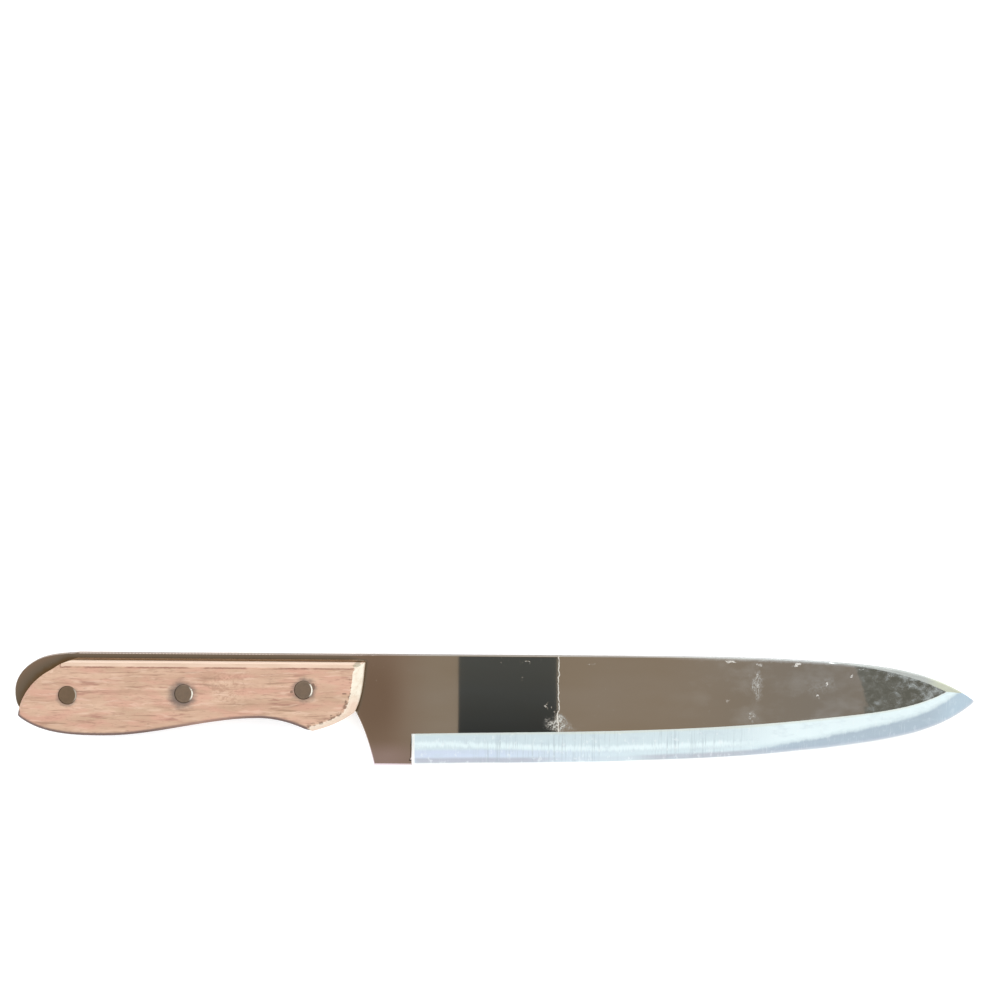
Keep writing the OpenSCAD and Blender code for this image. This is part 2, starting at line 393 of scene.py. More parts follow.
# Scuffs on the flats: place across and up, half length, half height, in millimetres, and strength
SCUFFS = (
    (18.2, 1.6, 1.0, 1.2, 0.7), (20.2, 1.2, 0.7, 0.9, 0.5), (20.9, -0.6, 1.0, 0.8, 0.5),
    (9.8, 11.6, 0.7, 0.9, 0.5), (11.0, 3.2, 0.7, 0.9, 0.3), (11.0, 17.4, 2.6, 0.5, 0.8),
    (34.0, 17.0, 3.0, 0.5, 0.6), (76.0, 9.2, 1.0, 1.0, 0.4), (83.6, 3.8, 1.2, 1.1, 0.5),
    (84.5, 18.4, 4.0, 0.5, 1.0), (93.6, 13.4, 1.0, 2.4, 0.6), (94.6, 9.0, 0.8, 2.6, 0.4),
    (94.9, 17.6, 1.6, 0.8, 0.7), (92.2, -1.6, 1.5, 1.4, 0.5), (108.4, 16.9, 2.0, 0.8, 1.0),
    (119.2, 10.3, 0.9, 1.1, 0.9), (116.0, 6.1, 0.9, 1.0, 0.9), (128.6, 13.3, 1.0, 0.6, 0.8),
    (131.0, 16.0, 2.5, 0.4, 0.6), (142.0, 13.6, 1.6, 0.8, 0.5),
)
# Hazy places on the flats, given in the same way
HAZES = (
    (21.8, -4.7, 5.6, 3.8, 1.0), (24.0, -6.6, 6.0, 2.2, 0.6), (94.0, 10.0, 2.6, 9.0, 0.6),
    (92.2, -1.6, 2.6, 2.4, 0.7), (117.0, 10.0, 9.0, 4.0, 0.3),
)
# Ragged scratch across the flat: its place along the blade
SCRATCH = 22.7 * MM
# Painted shade on the steel ahead of the scales: its middle, and its half length and half height
SHADED = (-44 * MM, 4 * MM)
SHADED_REACH = (14 * MM, 24 * MM)


class PolishedSteel(Finish):
    """Mirror-polished flats with hairlines, scuffs and a cloudy patch towards the point, with
    painted reflection near the handle and painted shade beside the wood.
    """

    def __init__(self):
        super().__init__("polished_steel")
        x, y, _ = self.axes
        self.crumbs = self.noise((2300, 1500, 1500), 3.0, 0.6)
        self.veil = self.noise((420, 420, 420), 4.0, 0.6)
        self.mottle = self.noise((260, 330, 330), 6.0, 0.68, 0.3)
        # Slow shifts in the flats' colour: painted reflection, standing for changes in what the
        # mirror sees
        self.reflection_drift = self.noise((18, 60, 60), 3.0)
        self.rim = self.attribute("spine")
        border = x + 8 * MM * (self.noise((200, 150, 150), 5.0, 0.65) - 0.5)
        self.clouded = self.step(border + 0.24 * y, POINT - 40 * MM, POINT - 38 * MM)

    def marks(self):
        """Scuffs, specks and the scratch."""
        scuffed = self.patches(SCUFFS, self.frayed((420, 420, 420), 4 * MM))
        scuffs = self.step(self.crumbs + 0.3 * scuffed, 0.60, 0.82) * scuffed
        wobble = self.noise((1, 160, 1), 4.0, 0.6) - 0.5
        scratch = self.step(abs(self.axes[0] - SCRATCH + 3.2 * MM * wobble), 0.28 * MM, 0.08 * MM)
        scratch = scratch * self.step(self.crumbs, 0.36, 0.46)
        specks = self.mottled(0.70, 0.78, (1100, 900, 900), 2.0, shift=(3, 7, 1))
        specks = specks * self.mottled(0.55, 0.62, (45, 45, 45), 2.0) * 0.2
        return (0.75 * scuffs).most(specks).most(0.7 * scratch)

    def haze(self):
        """Cloudy steel towards the point, hazy places, a thin film and the worn upper edge."""
        x, y, _ = self.axes
        spine_side = self.step(y - 0.55 * (POINT - x), -7 * MM, -2 * MM)
        cloud = self.step(self.mottle + 0.14 * spine_side, 0.5, 0.8) * self.clouded
        hazy = self.patches(HAZES, self.frayed((300, 300, 300), 9 * MM))
        hazy = hazy * self.step(self.crumbs, 0.36, 0.62)
        film = self.mottled(0.45, 0.7, (70, 110, 110), 4.0, 0.6) * self.step(x, 50 * MM, 95 * MM)
        worn = self.step(self.rim + 0.35 * (self.veil - 0.5), 0.35, 0.95)
        worn = worn * self.step(x, 52 * MM, 90 * MM)
        return strongest((cloud * 0.6, hazy * 0.95, film * 0.14, worn * 0.65))

    def colour(self, marks, haze):
        x, y, _ = self.axes
        beside_wood = self.step(x, -20 * MM, -40 * MM)
        foot = self.step(y, -10 * MM, -17 * MM)
        greying = self.step(x, 55 * MM, POINT - 50 * MM)
        smudge = self.step(self.mottle, 0.6, 0.38) * self.clouded
        # Stain and painted shade on the steel beside the wood: the deep part at the butt and the
        # darker seam elsewhere are painted shade
        stain_and_shade = self.attribute("stain_and_shade")
        stained_and_shaded = self.mix(self.step(stain_and_shade + 0.3 * (self.veil - 0.5), 0.35, 0.9),
                           shade(162, 157, 149), colours().stain_and_shade)
        at_butt = self.step(x, BUTT + 28 * MM, BUTT + 16 * MM)
        deep = self.step(stain_and_shade + 0.2 * (self.veil - 0.5), 0.5, 0.95) * at_butt
        wood_side_shade = self.step(stain_and_shade, 0.55, 0.85) * (1 - at_butt)
        # Painted shade on the rounded upper edge towards the handle, over its reflection of the sky
        dark_rim = self.step(self.rim, 0.9, 0.97) * self.step(x, 60 * MM, 40 * MM)
        return self.layers(
            colours().steel,
            # Painted reflection: slow shifts in what the flats mirror
            (self.step(self.reflection_drift, 0.3, 0.7) * 0.5, shade(194, 186, 172)),
            # Painted reflection near the handle: browner steel, lighter towards the foot
            (beside_wood * 0.9, shade(188, 172, 162)),
            (beside_wood * foot, shade(216, 202, 208)),
            # Painted shade on the steel ahead of the scales
            (self.spot(SHADED, SHADED_REACH) * 0.45, shade(150, 128, 112)),
            (greying * 0.8, shade(188, 195, 202)),
            (self.clouded * 0.8, shade(160, 177, 186)),
            (smudge * 0.5, shade(122, 134, 132)),
            (haze * 0.7, shade(186, 188, 180)),
            # Stain and painted shade beside the wood, deepest at the butt
            (self.step(stain_and_shade, 0.0, 0.6), stained_and_shaded),
            (deep, shade(142, 120, 86)),
            (wood_side_shade * 0.8, shade(118, 98, 78)),
            (dark_rim * 0.8, shade(112, 100, 88)),
            (marks, shade(214, 208, 196)),
        )

    def painted(self):
        """The finished material."""
        marks = self.marks()
        haze = self.haze()
        waves = self.noise((22, 36, 36), 1.0)
        hairlines = self.noise((60, 1400, 1400), 2.0)
        normal = self.bump(waves, 0.05 * MM, 0.4)
        normal = self.bump(hairlines, 0.0008 * MM, 0.3, normal)
        normal = self.bump(marks, 0.03 * MM, 0.5, normal)
        roughness = 0.02 + 0.4 * marks + 0.3 * haze + 0.02 * self.reflection_drift
        return self.set(Base_Color=self.colour(marks, haze), Roughness=roughness, Normal=normal,
                        Metallic=1 - marks.most(haze * 0.6))


# The dull strip along the ground face's edge widens by this share of the face with each metre
WIDENING = 6.0


def ground_steel(heel):
    """Satin ground face, with grinding lines that run from the edge up to the flat, and the painted
    reflection and highlights of its curve.
    """
    finish = Finish("ground_steel", metallic=1.0)
    x = finish.axes[0]
    across = finish.attribute("across") + 0.1 * (finish.noise((35, 35, 35), 2.0) - 0.5)
    lines = finish.noise((1700, 55, 55), 3.0, 0.6)
    fine = finish.noise((4200, 120, 120), 2.0, 0.6)
    to_heel = finish.step(x, 60 * MM, -20 * MM)
    to_point = finish.step(x, 80 * MM, 108 * MM)
    at_tip = finish.step(x, POINT - 18 * MM, POINT - 7 * MM)
    ragged = finish.noise((260, 160, 160), 4.0, 0.6) - 0.5
    level = across - WIDENING * x + 0.22 * ragged
    far_strip = finish.step(level, -0.28, -0.40) * to_point
    upper = finish.step(level, -0.32, -0.18) * to_point
    strip_gap = finish.step(abs(x - 36 * MM), 26 * MM, 10 * MM)
    strip = finish.step(across, 0.25, 0.13) * (1 - 0.75 * strip_gap)
    # Painted highlight: a bright band along the ground face, where its curve would mirror the
    # bright card
    height = across + 0.19 * finish.step(x, -25 * MM, 40 * MM) + 0.3 * (lines - 0.5)
    highlight_band = finish.step(height, 0.50, 0.62) * finish.step(height, 0.78, 0.66)
    highlight_band = highlight_band * (1 - to_point) * (0.75 + 0.25 * finish.step(lines, 0.4, 0.58))
    clusters = finish.mottled(0.45, 0.6, (48, 20, 20), 2.0)
    scored = finish.step(lines, 0.52, 0.64) * (0.15 + 0.85 * clusters)
    spots = finish.mottled(0.58, 0.7, (620, 420, 420), 3.0, 0.6)
    blotches = finish.mottled(0.5, 0.72, (150, 330, 330), 4.0, 0.6)
    plunge_highlight = finish.step(x, heel + 1.3 * MM, heel + 0.9 * MM)
    colour = finish.layers(
        colours().ground,
        # Painted reflection: lavender lower half near the heel
        (finish.step(across, 0.52, 0.38) * to_heel * 0.85, shade(208, 220, 240)),
        (highlight_band.most(upper * 0.85), colours().ground_highlight),
        (strip * 0.85, colours().ground_dull),
        (far_strip * 0.9, shade(169, 186, 200)),
        (far_strip * at_tip * 0.8, shade(184, 205, 219)),
        (finish.step(across, 0.13, 0.04) * to_point * 0.6, shade(208, 212, 222)),
        (scored * 0.4 * (1 - to_point), shade(170, 186, 194)),
        (finish.step(fine, 0.6, 0.72) * 0.35, shade(246, 255, 255)),
        (spots * 0.4 * (1 - 0.6 * to_point), shade(244, 252, 255)),
        (blotches * 0.35, shade(196, 212, 222)),
        (finish.step(across, 0.90, 0.97) * 0.5, shade(222, 226, 212)),
        # Painted highlight along the cutting edge and the plunge line
        (finish.step(across, 0.05, 0.0).most(plunge_highlight) * 0.9, shade(248, 252, 250)),
    )
    return finish.set(Base_Color=colour, Roughness=0.22 + 0.2 * lines,
                      Normal=finish.bump(lines + 0.5 * fine, 0.008 * MM, 0.5))


def brushed_spine():
    """Light, worn steel along the spine near the point, and the steel's narrow sides, with painted
    shade on them towards the handle.
    """
    finish = Finish("brushed_spine", metallic=1.0)
    x = finish.axes[0]
    lines = finish.noise((160, 900, 900), 3.0)
    colour = finish.layers(
        shade(134, 137, 134),
        (lines, shade(166, 170, 167)),
        # Painted shade on the narrow sides towards the handle, over their reflection of the sky
        (finish.step(x, 70 * MM, 40 * MM), shade(118, 107, 96)),
        (finish.step(x, POINT - 19 * MM, POINT - 13 * MM) * 0.9, shade(170, 174, 157)),
    )
    return finish.set(Base_Color=colour, Roughness=0.26 + 0.2 * lines,
                      Normal=finish.bump(lines, 0.01 * MM, 0.4))


# Stain round each rivet: shift across and up, reach past the head, in millimetres, and darkness
STAINS = ((-0.2, -0.3, 1.0, 0.5), (-0.6, -0.4, 3.0, 0.9), (0.2, 0.1, 2.0, 0.75))
# Dark pits in the wood: place across and up, half length, half height, in millimetres, and depth
PITS = (
    (-64.5, 9.4, 1.1, 2.2, 1.0), (-72.1, 7.5, 0.9, 0.9, 1.0), (-53.4, 6.9, 1.5, 0.45, 1.0),
    (-52.9, 4.0, 0.8, 0.8, 1.0), (-58.0, -0.8, 0.9, 0.35, 1.0),
)
# Worn, darker place at the upper front corner of the scales, given in the same way
CORNER_WEAR = ((-49.4, 16.7, 2.2, 0.8, 1.0),)
# Curled figure ahead of the middle rivet: its middle, and its half length and half height
FIGURE = (-94 * MM, 9 * MM)
FIGURE_REACH = (13 * MM, 9 * MM)
# Stretch of the handle's underside where the painted shade is lighter: its middle, and its half
# length
LIGHTER_STRETCH = -104 * MM
LIGHTER_STRETCH_REACH = 26 * MM


class ScaleWood(Finish):
    """Dry pale hardwood with its grain along the handle, paler where the bevels cut it."""

    def __init__(self):
        super().__init__("scale_wood", ior=1.45)
        self.drift = self.noise((14, 60, 60), 2.0)
        self.grain = self.vector("MULTIPLY_ADD", self.drift, (0, 3 * MM, 0), self.place)
        self.chips = self.noise((900, 1300, 900), 4.0, 0.65) - 0.5
        self.bands = self.noise((20, 240, 240), 3.0, 0.55, at=self.grain)
        self.blotches = self.noise((80, 300, 300), 3.0, 0.5, shift=(2, 5, 1), at=self.grain)
        lively = 0.35 + 0.65 * self.grained(0.4, 0.58, (28, 130, 130), 2.0)
        self.long_streaks = self.grained(0.55, 0.70, (65, 650, 650), 4.0, 0.6) * lively
        self.short_streaks = self.grained(0.54, 0.70, (110, 850, 850), 3.0, 0.6, 0.5) * lively
        self.pores = self.grained(0.60, 0.70, (420, 2600, 2600), 2.0)

    def grained(self, start, end, *texture, **more):
        """Patches, streaks or dots that follow the grain."""
        return self.mottled(start, end, *texture, at=self.grain, **more)

    def rivet_stains(self):
        """How dark the wood is round each rivet, from 0 to 1."""
        ragged = self.noise((320, 560, 560), 4.0, 0.65) - 0.5
        rings = []
        for centre, (across, up, reach, share) in zip(RIVET_CENTRES, STAINS):
            point = (centre.x + across * MM, centre.y + up * MM, SCALE_HIGH.z)
            away = self.distance(point) + 3.4 * MM * ragged
            ring = self.step(away, HEAD_RADIUS + reach * MM, HEAD_RADIUS - 0.4 * MM)
            rings.append(ring * share)
        return strongest(rings)

    @cached_property
    def pits(self):
        """Dark pits: crumbled ones behind the front bevel, and single ones in the face."""
        ahead = self.attribute("front")
        front = ahead + 0.5 * self.chips
        ridge = self.step(front, 0.15, 0.35) * self.step(front, 0.66, 0.5) * ahead.least(0.1) * 10
        low_end = 0.08 * self.step(self.axes[1], 7 * MM, 3 * MM)
        crumbled = ridge * self.step(self.noise((700, 900, 700), 2.0) + low_end, 0.53, 0.66)
        return crumbled.most(self.step(self.patches(PITS) + 1.4 * self.chips, 0.45, 0.75))

    def face(self):
        """Streaked wood with a curled figure, stained round the rivets."""
        greyer = self.grained(0.48, 0.66, (55, 220, 220), 3.0, shift=(8, 1, 4))
        threads = self.grained(0.62, 0.68, (60, 1500, 1500), 2.0, 0.5, 0.3)
        flecks = self.grained(0.54, 0.70, (150, 1000, 1000), 2.0, 0.5, 0.4, shift=(5, 2, 9))
        curls = self.noise((600, 760, 760), 3.0, 0.6, 1.2)
        figured = self.spot(FIGURE, FIGURE_REACH, self.frayed((90, 160, 160), 16 * MM))
        curled = figured.most(self.mottled(0.6, 0.72, (38, 70, 70), 1.0, shift=(4, 4, 4)) * 0.6)
        return self.layers(
            colours().wood,
            (self.step(self.bands, 0.3, 0.7), shade(197, 164, 139)),
            (self.step(self.blotches, 0.42, 0.62) * 0.6, shade(192, 143, 124)),
            (greyer * 0.5, shade(168, 138, 112)),
            (self.long_streaks * 0.6, shade(126, 90, 70)),
            (threads * 0.5, shade(128, 96, 72)),
            (self.short_streaks * 0.6, shade(144, 100, 84)),
            (flecks * 0.4, shade(214, 184, 162)),
            (self.pores * 0.25, colours().wood_dark),
            (self.step(curls, 0.5, 0.62) * curled * 0.5, shade(156, 116, 94)),
            (self.step(curls, 0.44, 0.34) * curled * 0.2, shade(214, 186, 160)),
            (self.rivet_stains(), colours().stain),
        )

    def upper_bevel(self, colour):
        """Paler, sanded wood along the upper edge, with a broken dark line below it, and painted
        light on the walls that face up.
        """
        turned = self.attribute("upper") + 0.5 * self.chips
        broken = self.mottled(0.4, 0.56, (160, 200, 200), 2.0)
        line = self.step(turned, 0.02, 0.3) * self.step(turned, 0.6, 0.46) * broken
        sanded = self.layers(
            colours().wood_pale,
            (self.long_streaks * 0.3, shade(176, 146, 120)),
            (self.step(self.blotches, 0.4, 0.7) * 0.4, shade(222, 198, 178)),
        )
        return self.layers(
            colour,
            (line * 0.8, shade(134, 94, 76)),
            (self.step(turned, 0.42, 0.6) * 0.9, sanded),
            # Painted light on the walls that face up
            (self.step(turned, 1.3, 1.8) * 0.8, shade(232, 208, 188)),
        )

    def front_bevel(self, colour):
        """End grain where the front bevel cuts the wood, with painted shade on its lobe, which
        faces down.
        """
        rings = self.noise((60, 420, 420), 3.0)
        dots = self.mottled(0.62, 0.70, (1500, 1900, 1900), 2.0)
        end_grain = self.layers(
            colours().end_grain,
            (self.step(rings, 0.35, 0.7), shade(218, 203, 182)),
            # Painted shade on the lobe, which faces down
            (self.attribute("lobe") * 0.8, shade(217, 189, 168)),
            (dots * 0.4, shade(164, 138, 110)),
        )
        front = self.attribute("front") + 0.5 * self.chips
        return self.mix(self.step(front, 0.42, 0.56), colour, end_grain)

    def worn(self, colour):
        """Pits, a worn corner, and painted shade along the underside, on walls that face down and
        in the rivet holes, lighter along one stretch.
        """
        corner = self.step(self.patches(CORNER_WEAR) + 1.2 * self.chips, 0.3, 0.6)
        shade_amount = self.step(self.attribute("grime") + 0.3 * self.chips, 0.0, 0.75)
        away = abs(self.axes[0] - LIGHTER_STRETCH) + 40 * MM * (self.drift - 0.5)
        lighter_stretch = self.step(away, LIGHTER_STRETCH_REACH, 0)
        return self.layers(
            colour,
            (self.pits * 0.72, shade(100, 74, 54)),
            (corner * 0.6, shade(134, 128, 104)),
            (shade_amount * (1 - 0.45 * lighter_stretch), colours().grime),
        )

    def painted(self):
        """The finished material."""
        colour = self.worn(self.front_bevel(self.upper_bevel(self.face())))
        relief = (self.bands * 0.4 - 0.5 * self.long_streaks - 0.3 * self.short_streaks
                  - 0.5 * self.pores - 0.6 * self.pits)
        return self.set(Base_Color=colour, Roughness=0.6 + 0.12 * self.bands,
                        Normal=self.bump(relief, 0.09 * MM, 0.6))


# How bright the painted highlight on the rim of each rivet head is
RIM_HIGHLIGHTS = (0.4, 1.0, 1.0)


def rivet_metal():
    """Dull, scratched rivet heads, each with a painted highlight on its rim on the side of the
    point.
    """
    finish = Finish("rivet_metal")
    x = finish.axes[0]
    mottle = finish.noise((420, 420, 420), 4.0, 0.6)
    scratches = finish.noise((500, 2600, 500), 2.0)
    crescents = []
    for centre, share in zip(RIVET_CENTRES, RIM_HIGHLIGHTS):
        away = finish.distance((centre.x, centre.y, SCALE_HIGH.z))
        ring = finish.step(away, HEAD_RADIUS - 0.62 * MM, HEAD_RADIUS - 0.45 * MM)
        side = finish.step(x - centre.x, HEAD_RADIUS * 0.5, HEAD_RADIUS * 0.9)
        near = finish.step(away, HEAD_RADIUS * 1.3, HEAD_RADIUS * 1.2)
        crescents.append(ring * side * near * share)
    # Painted highlight: bright, non-metallic crescents on the rims
    rim_highlight = strongest(crescents) * finish.mottled(0.26, 0.4, (900, 900, 900), 2.0)
    colour = finish.layers(
        colours().rivet,
        (finish.step(mottle, 0.35, 0.7) * 0.6, shade(110, 98, 86)),
        (finish.step(x, BUTT + 45 * MM, BUTT + 35 * MM) * 0.5, shade(108, 86, 62)),
        (rim_highlight, shade(240, 234, 220)),
    )
    normal = finish.bump(mottle + 0.6 * scratches, 0.015 * MM, 0.4)
    return finish.set(Base_Color=colour, Roughness=0.3 + 0.2 * mottle, Normal=normal,
                      Metallic=1 - rim_highlight)


class Surface:
    """The side of a CAD node that faces up, or down, read in millimetres."""

    # Least distance between two points of an outline, in millimetres
    CLOSEST = 0.08
    # Least upward part of the facing of a face that belongs to the upper side
    UPWARD = 0.2
    # A height above every place of the knife, in millimetres
    ABOVE = 1000

    def __init__(self, node, facing):
        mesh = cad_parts[node].data
        mesh.calc_loop_triangles()
        count = len(mesh.vertices)
        places = np.zeros(count * 3)
        mesh.vertices.foreach_get("co", places)
        places = places.reshape(-1, 3) / MM
        corners = np.zeros(len(mesh.loop_triangles) * 3, int)
        mesh.loop_triangles.foreach_get("vertices", corners)
        _, firsts, shared = np.unique(
            np.round(places, 3), axis=0, return_index=True, return_inverse=True)
        self.places = places[firsts] * (1, 1, facing)
        triangles = shared.reshape(-1)[corners].reshape(-1, 3)
        if facing < 0:
            triangles = triangles[:, ::-1]
        sides = self.places[triangles]
        normals = np.cross(sides[:, 1] - sides[:, 0], sides[:, 2] - sides[:, 0])
        lengths = np.linalg.norm(normals, axis=1)
        first, second, third = triangles.T
        whole = (first != second) & (second != third) & (third != first)
        self.triangles = triangles[whole]
        self.normals = normals[whole] / np.maximum(lengths[whole, None], 1e-9)
        self.tree = BVHTree.FromPolygons(self.places.tolist(), self.triangles.tolist())
        self.base = self.places[:, 2].min()
        self.top = self.places[:, 2].max()

    def outline(self, height):
        """The longest line where a level plane cuts the node, anticlockwise."""
        onward = {}
        for corners in self.triangles:
            ends = {}
            for start, end in zip(corners, np.roll(corners, -1)):
                rises = self.places[start][2] < height
                if rises != (self.places[end][2] < height):
                    ends[rises] = (min(start, end), max(start, end))
            if ends:
                onward[ends[False]] = ends[True]
        rings = []
        while onward:
            first, here = onward.popitem()
            ring = [first, here]
            while here != first:
                here = onward.pop(here)
                ring.append(here)
            points = []
            for low, high in ring[1:]:
                a, b = self.places[low], self.places[high]
                point = (a + (b - a) * (height - a[2]) / (b[2] - a[2]))[:2]
                if not points or np.linalg.norm(point - points[-1]) > self.CLOSEST:
                    points.append(point)
            if np.linalg.norm(points[0] - points[-1]) < self.CLOSEST:
                points.pop()
            rings.append(np.array(points))
        return max(rings, key=lambda ring: np.ptp(ring[:, 0]))

    def creases(self, least_turn):
        """Pairs of places where the upper side bends by more than least_turn, in radians."""
        sides = {}
        for index in np.nonzero(self.normals[:, 2] > self.UPWARD)[0]:
            corners = self.triangles[index]
            for start, end in zip(corners, np.roll(corners, -1)):
                sides.setdefault((min(start, end), max(start, end)), []).append(index)
        pairs = []
        for (start, end), faces in sides.items():
            if len(faces) == 2:
                cosine = self.normals[faces[0]] @ self.normals[faces[1]]
                if math.acos(min(1.0, cosine)) > least_turn:
                    pairs.append((self.places[start][:2], self.places[end][:2]))
        return pairs

    def height(self, x, y):
        """Height of the surface at a place and the way that it faces, or None beside it."""
        spot, normal, _, _ = self.tree.ray_cast(Vector((x, y, self.ABOVE)), Vector((0, 0, -1)))
        return (None, None) if spot is None else (spot.z, normal)


# Height over a scale's inner side at which its outline is read, in millimetres
SCALE_LIFT = 0.1
# Turn between two faces from which their common edge is always sharp
STRONG_TURN = math.radians(50)
# Room without loose points beside creases, and without extra ones beside the outline,
# in millimetres
CREASE_ROOM = 0.12
EXTRA_ROOM = 0.3
# A ring's points that come nearer to the outline than this share of its step are left out
CROWDED = 0.96
# Faces lower than this are left out, and places closer than this are one, in millimetres
THINNEST = 0.0005
SAME_PLACE = 1e-4
# Directions in which a surface is read to even it out
AROUND = 8


def split_long(ring, most):
    """A closed line with its long sides divided."""
    points = []
    for start, end in zip(ring, np.roll(ring, -1, axis=0)):
        count = max(1, math.ceil(np.linalg.norm(end - start) / most))
        points += [start + (end - start) * i / count for i in range(count)]
    return np.array(points)


def away_from(points, ring, closed=True):
    """Distance of each point from a line."""
    starts = ring if closed else ring[:-1]
    ends = np.roll(ring, -1, axis=0) if closed else ring[1:]
    nearest = np.full(len(points), np.inf)
    for start, end in zip(starts, ends):
        side = end - start
        length = side @ side
        share = np.clip((points - start) @ side / length, 0, 1) if length > 0 else 0
        gap = np.linalg.norm(points - (start + np.outer(share, side)), axis=1)
        nearest = np.minimum(nearest, gap)
    return nearest


def inward(ring, least_turn=0.35):
    """The way in from each corner of an anticlockwise ring, at the pace of its sides.

    least_turn keeps the points of sharp corners from running ahead.
    """
    before = ring - np.roll(ring, 1, axis=0)
    after = np.roll(ring, -1, axis=0) - ring
    normals = [np.stack([-d[:, 1], d[:, 0]], 1) / np.linalg.norm(d, axis=1)[:, None]
               for d in (before, after)]
    total = normals[0] + normals[1]
    turn = 1 + np.sum(normals[0] * normals[1], axis=1)
    return total / np.maximum(turn, least_turn)[:, None]


def matching(places, points):
    """Which of the places lies at each point."""
    return np.array([np.argmin(np.linalg.norm(places - p, axis=1)) for p in points])


def circle(centre, radius, count=48):
    """Points round a circle, anticlockwise."""
    turns = np.arange(count) * math.tau / count
    return np.stack([centre[0] + radius * np.cos(turns), centre[1] + radius * np.sin(turns)], 1)


def inside(points, ring):
    """Which points lie inside a closed line."""
    found = np.zeros(len(points), bool)
    x, y = points[:, 0], points[:, 1]
    for (x0, y0), (x1, y1) in zip(ring, np.roll(ring, -1, axis=0)):
        if y0 != y1:
            crosses = (y0 > y) != (y1 > y)
            found ^= crosses & (x < (x1 - x0) * (y - y0) / (y1 - y0) + x0)
    return found


def thinnest(triangles):
    """Height of each flat triangle over its longest side."""
    sides = np.roll(triangles, -1, axis=1) - triangles
    first, second = sides[:, 0], sides[:, 1]
    doubled = abs(first[:, 0] * second[:, 1] - first[:, 1] * second[:, 0])
    return doubled / np.linalg.norm(sides, axis=2).max(axis=1)


def clear_of(creases, outline, room=CREASE_ROOM, shortest=2.5):
    """Creases cut back where they end at the outline, without those that run along it.

    A crease with one end there is dropped if it is shorter than so many rooms.
    """
    kept = []
    for start, end in creases:
        near = away_from(np.array([start, end]), outline) < room
        length = np.linalg.norm(end - start)
        if not near.any() or (not near.all() and length > shortest * room):
            cut = (end - start) / length * room
            kept.append((start + cut * near[0], end - cut * near[1]))
    return kept


def fill(outline, holes, steps, grid, creases=(), extra=()):
    """Triangles over the room between an outline and its holes. Rings step in from the outline."""
    creases = clear_of(creases, outline)
    points = [tuple(p) for p in outline]
    edges = [(i, (i + 1) % len(outline)) for i in range(len(outline))]
    for hole in holes:
        base = len(points)
        points += [tuple(p) for p in hole]
        edges += [(base + i, base + (i + 1) % len(hole)) for i in range(len(hole))]
    for start, end in creases:
        base = len(points)
        points += [tuple(start), tuple(end)]
        edges.append((base, base + 1))
    loose = [np.zeros((0, 2))]
    way = inward(outline)
    for step in steps:
        ring = outline + way * step
        loose.append(ring[away_from(ring, outline) > CROWDED * step])
    deepest = max(steps, default=0.0) + grid / 2
    if grid:
        low, high = outline.min(0), outline.max(0)
        lattice = np.stack(np.meshgrid(np.arange(low[0], high[0], grid),
                                       np.arange(low[1], high[1], grid)), -1).reshape(-1, 2)
        loose.append(lattice[away_from(lattice, outline) > deepest])
    if len(extra):
        loose.append(extra[away_from(extra, outline) > EXTRA_ROOM])
    loose = np.concatenate(loose)
    loose = loose[inside(loose, outline)]
    for hole in holes:
        middle = hole.mean(0)
        room = np.linalg.norm(hole[0] - middle) + grid / 3
        loose = loose[np.linalg.norm(loose - middle, axis=1) > room]
    for start, end in creases:
        away = away_from(loose, np.array([start, end]), closed=False)
        loose = loose[away > CREASE_ROOM]
    points += [tuple(p) for p in loose]
    places, _, faces, _, _, _ = delaunay_2d_cdt(
        [Vector(p) for p in points], edges, [], 0, SAME_PLACE)
    places = np.array([tuple(p) for p in places])
    faces = np.array(faces)
    middles = places[faces].mean(axis=1)
    keep = inside(middles, outline)
    for hole in holes:
        keep &= ~inside(middles, hole)
    return places, faces[keep & (thinnest(places[faces]) > THINNEST)]


